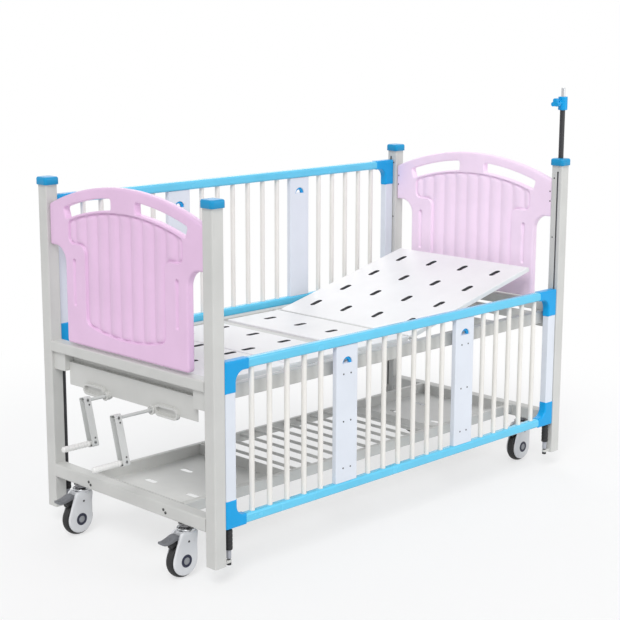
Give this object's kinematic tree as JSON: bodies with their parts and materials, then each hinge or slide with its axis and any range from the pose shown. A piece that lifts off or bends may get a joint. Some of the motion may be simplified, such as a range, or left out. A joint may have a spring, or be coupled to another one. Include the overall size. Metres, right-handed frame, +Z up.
{
  "type": "pediatric hospital cot",
  "caption": "Wheeled pediatric hospital cot with drop rails, moulded end boards, crank-raised backrest and knee, storage tray, braked casters and infusion pole.",
  "frame": {"origin": "on the floor, under the middle of the overall bounding box of the cot and its crank handles", "axes": "+X from the foot end to the head end, +Y to the side opposite the infusion pole, +Z up"},
  "size_m": [2.2314, 0.963, 1.6],
  "materials": {
    "frame_paint": "light grey powder coat, satin",
    "bar_paint": "warm off-white powder coat, satin",
    "rail_plate": "cool white moulding, satin",
    "azure_plastic": "azure blue moulding, soft gloss",
    "azure_rail": "azure blue coating, soft gloss",
    "board_pink": "blow-moulded pink, soft gloss",
    "deck_paint": "white powder coat, satin",
    "tray_paint": "grey powder coat, satin",
    "zinc_steel": "bright zinc plate",
    "dark_rod": "near-black coating",
    "black_rubber": "matt black rubber",
    "crank_paint": "light grey powder coat",
    "grip_white": "white moulding",
    "caster_cover": "silver-white moulding",
    "caster_tyre": "black tread on a grey hub",
    "pedal_grey": "slate grey moulding",
    "chrome": "chrome plate",
    "pole_grey": "dark grey satin coating"
  },
  "bodies": {
    "frame": {"caster_races": "chrome", "crank_plate": "frame_paint", "deck_frame": "frame_paint", "end_beams": "frame_paint", "foot_board": "board_pink", "foot_tray_pan": "tray_paint", "guide_rods": "dark_rod", "head_board": "board_pink", "head_tray_pan": "tray_paint", "pole_collar": "azure_plastic", "pole_tube": "pole_grey", "post_caps": "azure_plastic", "post_foot_far": "frame_paint", "post_foot_near": "frame_paint", "post_head_far": "frame_paint", "post_head_near": "frame_paint", "rail_buffers": "black_rubber", "seat_panel": "deck_paint", "tray_frame": "tray_paint"},
    "near_rail": {"near_rail_tubes": "azure_rail", "near_rail_uprights": "rail_plate", "near_rail_corners": "azure_plastic", "near_rail_bars": "bar_paint", "near_rail_plates": "rail_plate"},
    "near_foot_trigger": {"near_foot_trigger": "azure_plastic"},
    "near_head_trigger": {"near_head_trigger": "azure_plastic"},
    "far_rail": {"far_rail_tubes": "azure_rail", "far_rail_uprights": "rail_plate", "far_rail_corners": "azure_plastic", "far_rail_bars": "bar_paint", "far_rail_plates": "rail_plate"},
    "far_foot_trigger": {"far_foot_trigger": "azure_plastic"},
    "far_head_trigger": {"far_head_trigger": "azure_plastic"},
    "backrest": {"backrest_panel": "deck_paint", "backrest_lever": "zinc_steel"},
    "thigh": {"thigh_panel": "deck_paint", "thigh_lever": "zinc_steel"},
    "leg": {"leg_panel": "deck_paint"},
    "backrest_crank": {"backrest_crank": "crank_paint"},
    "backrest_grip": {"backrest_grip": "grip_white"},
    "backrest_push_tube": {"backrest_push_tube": "zinc_steel"},
    "knee_crank": {"knee_crank": "crank_paint"},
    "knee_grip": {"knee_grip": "grip_white"},
    "knee_push_tube": {"knee_push_tube": "zinc_steel"},
    "caster_swivel_foot_near": {"caster_fork_foot_near": "caster_cover"},
    "caster_wheel_foot_near": {"caster_wheel_foot_near": "caster_tyre"},
    "caster_pedal_foot_near": {"caster_pedal_foot_near": "pedal_grey"},
    "caster_swivel_foot_far": {"caster_fork_foot_far": "caster_cover"},
    "caster_wheel_foot_far": {"caster_wheel_foot_far": "caster_tyre"},
    "caster_pedal_foot_far": {"caster_pedal_foot_far": "pedal_grey"},
    "caster_swivel_head_near": {"caster_fork_head_near": "caster_cover"},
    "caster_wheel_head_near": {"caster_wheel_head_near": "caster_tyre"},
    "caster_pedal_head_near": {"caster_pedal_head_near": "pedal_grey"},
    "caster_swivel_head_far": {"caster_fork_head_far": "caster_cover"},
    "caster_wheel_head_far": {"caster_wheel_head_far": "caster_tyre"},
    "caster_pedal_head_far": {"caster_pedal_head_far": "pedal_grey"},
    "pole_rod": {"pole_rod": "chrome"},
    "pole_knob": {"pole_knob": "azure_plastic"}
  },
  "joints": [
    {"name": "near_rail_slide", "type": "slide", "parent": "frame", "child": "near_rail", "axis": [0, 0, 1], "range_m": [0, 0.471]},
    {"name": "near_foot_trigger_squeeze", "type": "slide", "parent": "near_rail", "child": "near_foot_trigger", "axis": [0, 0, 1], "range_m": [0, 0.008], "stiffness_N_per_m": 900, "springref_m": -0.006},
    {"name": "near_head_trigger_squeeze", "type": "slide", "parent": "near_rail", "child": "near_head_trigger", "axis": [0, 0, 1], "range_m": [0, 0.008], "stiffness_N_per_m": 900, "springref_m": -0.006},
    {"name": "far_rail_slide", "type": "slide", "parent": "frame", "child": "far_rail", "axis": [0, 0, 1], "range_m": [-0.471, 0]},
    {"name": "far_foot_trigger_squeeze", "type": "slide", "parent": "far_rail", "child": "far_foot_trigger", "axis": [0, 0, 1], "range_m": [0, 0.008], "stiffness_N_per_m": 900, "springref_m": -0.006},
    {"name": "far_head_trigger_squeeze", "type": "slide", "parent": "far_rail", "child": "far_head_trigger", "axis": [0, 0, 1], "range_m": [0, 0.008], "stiffness_N_per_m": 900, "springref_m": -0.006},
    {"name": "backrest_crank_turn", "type": "hinge", "parent": "frame", "child": "backrest_crank", "pos_m": [-0.81475, 0.129, 0.555], "axis": [1, 0, 0], "range_deg": [-1826.94, 8713.1]},
    {"name": "knee_crank_turn", "type": "hinge", "parent": "frame", "child": "knee_crank", "pos_m": [-0.81475, -0.129, 0.555], "axis": [1, 0, 0], "range_deg": [0, 4918.69]},
    {"name": "backrest_hinge", "type": "hinge", "parent": "frame", "child": "backrest", "pos_m": [0.25425, 0, 0.677], "axis": [0, -1, 0], "range_deg": [-13.01, 62.01]},
    {"name": "thigh_hinge", "type": "hinge", "parent": "frame", "child": "thigh", "pos_m": [-0.09775, 0, 0.677], "axis": [0, 1, 0], "range_deg": [-0.01, 35.01]},
    {"name": "knee_hinge", "type": "hinge", "parent": "thigh", "child": "leg", "pos_m": [-0.38975, 0, 0.668], "axis": [0, 1, 0], "range_deg": [-59.8, 0.01]},
    {"name": "backrest_push", "type": "slide", "parent": "frame", "child": "backrest_push_tube", "axis": [1, 0, 0], "range_m": [-0.03055, 0.14532]},
    {"name": "knee_push", "type": "slide", "parent": "frame", "child": "knee_push_tube", "axis": [1, 0, 0], "range_m": [-0.08208, 0.0001]},
    {"name": "backrest_grip_fold", "type": "hinge", "parent": "backrest_crank", "child": "backrest_grip", "pos_m": [-0.91975, 0.09018, 0.41011], "axis": [0, 0.9659, -0.2588], "range_deg": [0, 90]},
    {"name": "knee_grip_fold", "type": "hinge", "parent": "knee_crank", "child": "knee_grip", "pos_m": [-0.98475, -0.16782, 0.41011], "axis": [0, 0.9659, -0.2588], "range_deg": [0, 90]},
    {"name": "caster_swivel_foot_near", "type": "hinge", "parent": "frame", "child": "caster_swivel_foot_near", "pos_m": [-0.82475, -0.297, 0.191], "axis": [0, 0, 1], "continuous": true},
    {"name": "caster_roll_foot_near", "type": "hinge", "parent": "caster_swivel_foot_near", "child": "caster_wheel_foot_near", "pos_m": [-0.84675, -0.297, 0.0625], "axis": [0, 1, 0], "continuous": true},
    {"name": "caster_brake_foot_near", "type": "hinge", "parent": "caster_swivel_foot_near", "child": "caster_pedal_foot_near", "pos_m": [-0.86475, -0.297, 0.143], "axis": [0, -1, 0], "range_deg": [0, 12]},
    {"name": "caster_swivel_foot_far", "type": "hinge", "parent": "frame", "child": "caster_swivel_foot_far", "pos_m": [-0.82475, 0.297, 0.191], "axis": [0, 0, 1], "continuous": true},
    {"name": "caster_roll_foot_far", "type": "hinge", "parent": "caster_swivel_foot_far", "child": "caster_wheel_foot_far", "pos_m": [-0.84675, 0.297, 0.0625], "axis": [0, 1, 0], "continuous": true},
    {"name": "caster_brake_foot_far", "type": "hinge", "parent": "caster_swivel_foot_far", "child": "caster_pedal_foot_far", "pos_m": [-0.86475, 0.297, 0.143], "axis": [0, -1, 0], "range_deg": [0, 12]},
    {"name": "caster_swivel_head_near", "type": "hinge", "parent": "frame", "child": "caster_swivel_head_near", "pos_m": [1.07525, -0.297, 0.191], "axis": [0, 0, 1], "continuous": true},
    {"name": "caster_roll_head_near", "type": "hinge", "parent": "caster_swivel_head_near", "child": "caster_wheel_head_near", "pos_m": [1.05325, -0.297, 0.0625], "axis": [0, 1, 0], "continuous": true},
    {"name": "caster_brake_head_near", "type": "hinge", "parent": "caster_swivel_head_near", "child": "caster_pedal_head_near", "pos_m": [1.03525, -0.297, 0.143], "axis": [0, -1, 0], "range_deg": [0, 12]},
    {"name": "caster_swivel_head_far", "type": "hinge", "parent": "frame", "child": "caster_swivel_head_far", "pos_m": [1.07525, 0.297, 0.191], "axis": [0, 0, 1], "continuous": true},
    {"name": "caster_roll_head_far", "type": "hinge", "parent": "caster_swivel_head_far", "child": "caster_wheel_head_far", "pos_m": [1.05325, 0.297, 0.0625], "axis": [0, 1, 0], "continuous": true},
    {"name": "caster_brake_head_far", "type": "hinge", "parent": "caster_swivel_head_far", "child": "caster_pedal_head_far", "pos_m": [1.03525, 0.297, 0.143], "axis": [0, -1, 0], "range_deg": [0, 12]},
    {"name": "pole_rod_slide", "type": "slide", "parent": "frame", "child": "pole_rod", "axis": [0, 0, 1], "range_m": [0, 0.45]},
    {"name": "pole_knob_turn", "type": "hinge", "parent": "frame", "child": "pole_knob", "pos_m": [1.07525, -0.45, 1.54], "axis": [1, 0, 0], "range_deg": [0, 360]}
  ],
  "couplings": [
    {"joint": "backrest_hinge", "follows": "backrest_crank_turn", "ratio": 0.0071157},
    {"joint": "backrest_push", "follows": "backrest_crank_turn", "m_per_rad": 0.00095493},
    {"joint": "thigh_hinge", "follows": "knee_crank_turn", "ratio": 0.0071157},
    {"joint": "knee_push", "follows": "knee_crank_turn", "m_per_rad": -0.00095493},
    {"joint": "knee_hinge", "follows": "knee_crank_turn", "ratio": -0.012148}
  ]
}
